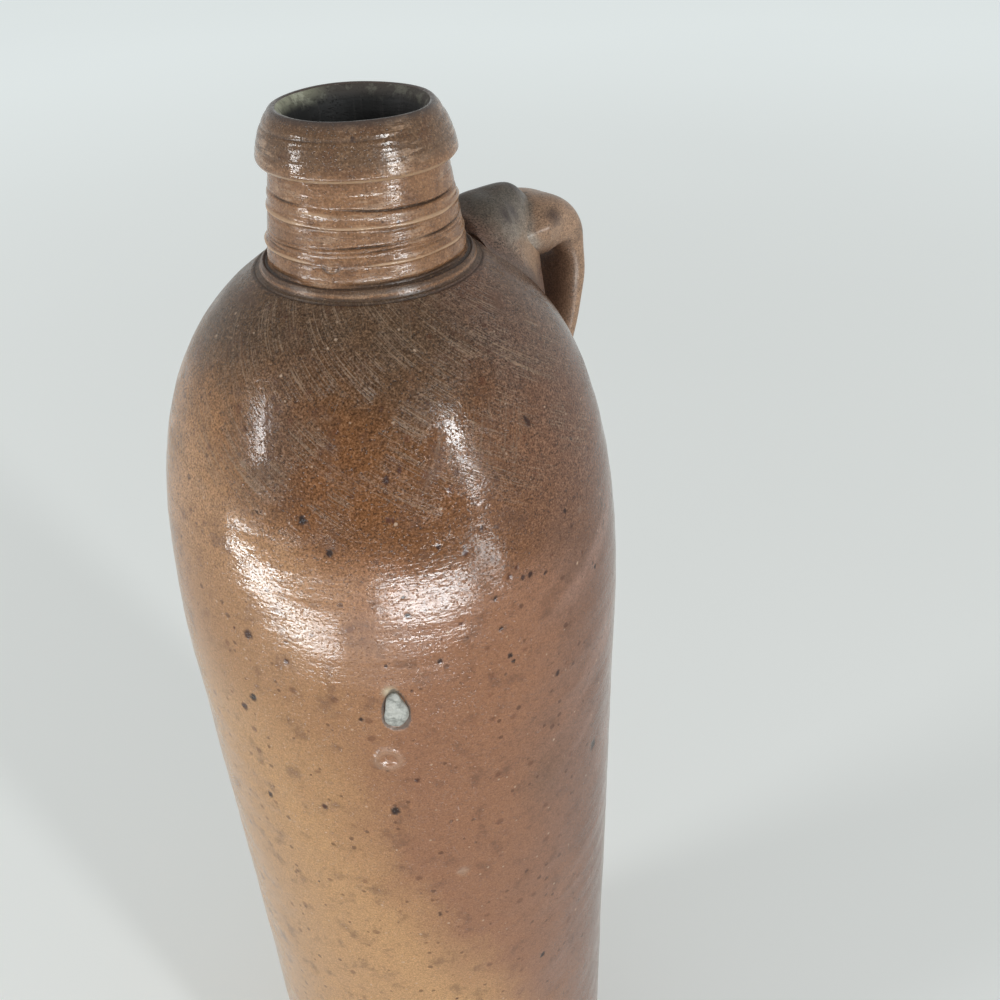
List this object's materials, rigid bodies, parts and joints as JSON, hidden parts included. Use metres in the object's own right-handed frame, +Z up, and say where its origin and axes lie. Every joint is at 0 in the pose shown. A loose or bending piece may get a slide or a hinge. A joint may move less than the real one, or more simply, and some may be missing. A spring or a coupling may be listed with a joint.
{
  "type": "stoneware crock jug",
  "caption": "Slim salt-glazed stoneware crock jug with a domed shoulder, a turned neck with a thick rolled lip, and a small ear handle, for keeping and pouring drinks.",
  "frame": {"origin": "centre of the flat foot, on the surface that the jug stands on", "axes": "+Z up along the jug's turning axis, +X towards the ear handle"},
  "size_m": [0.0943, 0.088, 0.3],
  "materials": {
    "body": "salt glaze, satin to glossy, orange-peel texture with iron specks",
    "neck": "salt glaze over turning grooves, darker in the grooves",
    "handle": "thin salt glaze over a hand-pulled strap, smeared at the joints",
    "base": "bare fired clay under the foot, wire-cut",
    "stone": "white calcined pebble, matt and rough"
  },
  "bodies": {
    "root": {"base_disc": "base", "body_wall": "body", "shoulder": "body", "stone_inclusion": "stone", "neck_tube": "neck", "neck_cordon": "neck", "lip_band": "neck", "handle_root": "handle", "handle_strap": "handle", "handle_tail": "handle"}
  },
  "joints": []
}
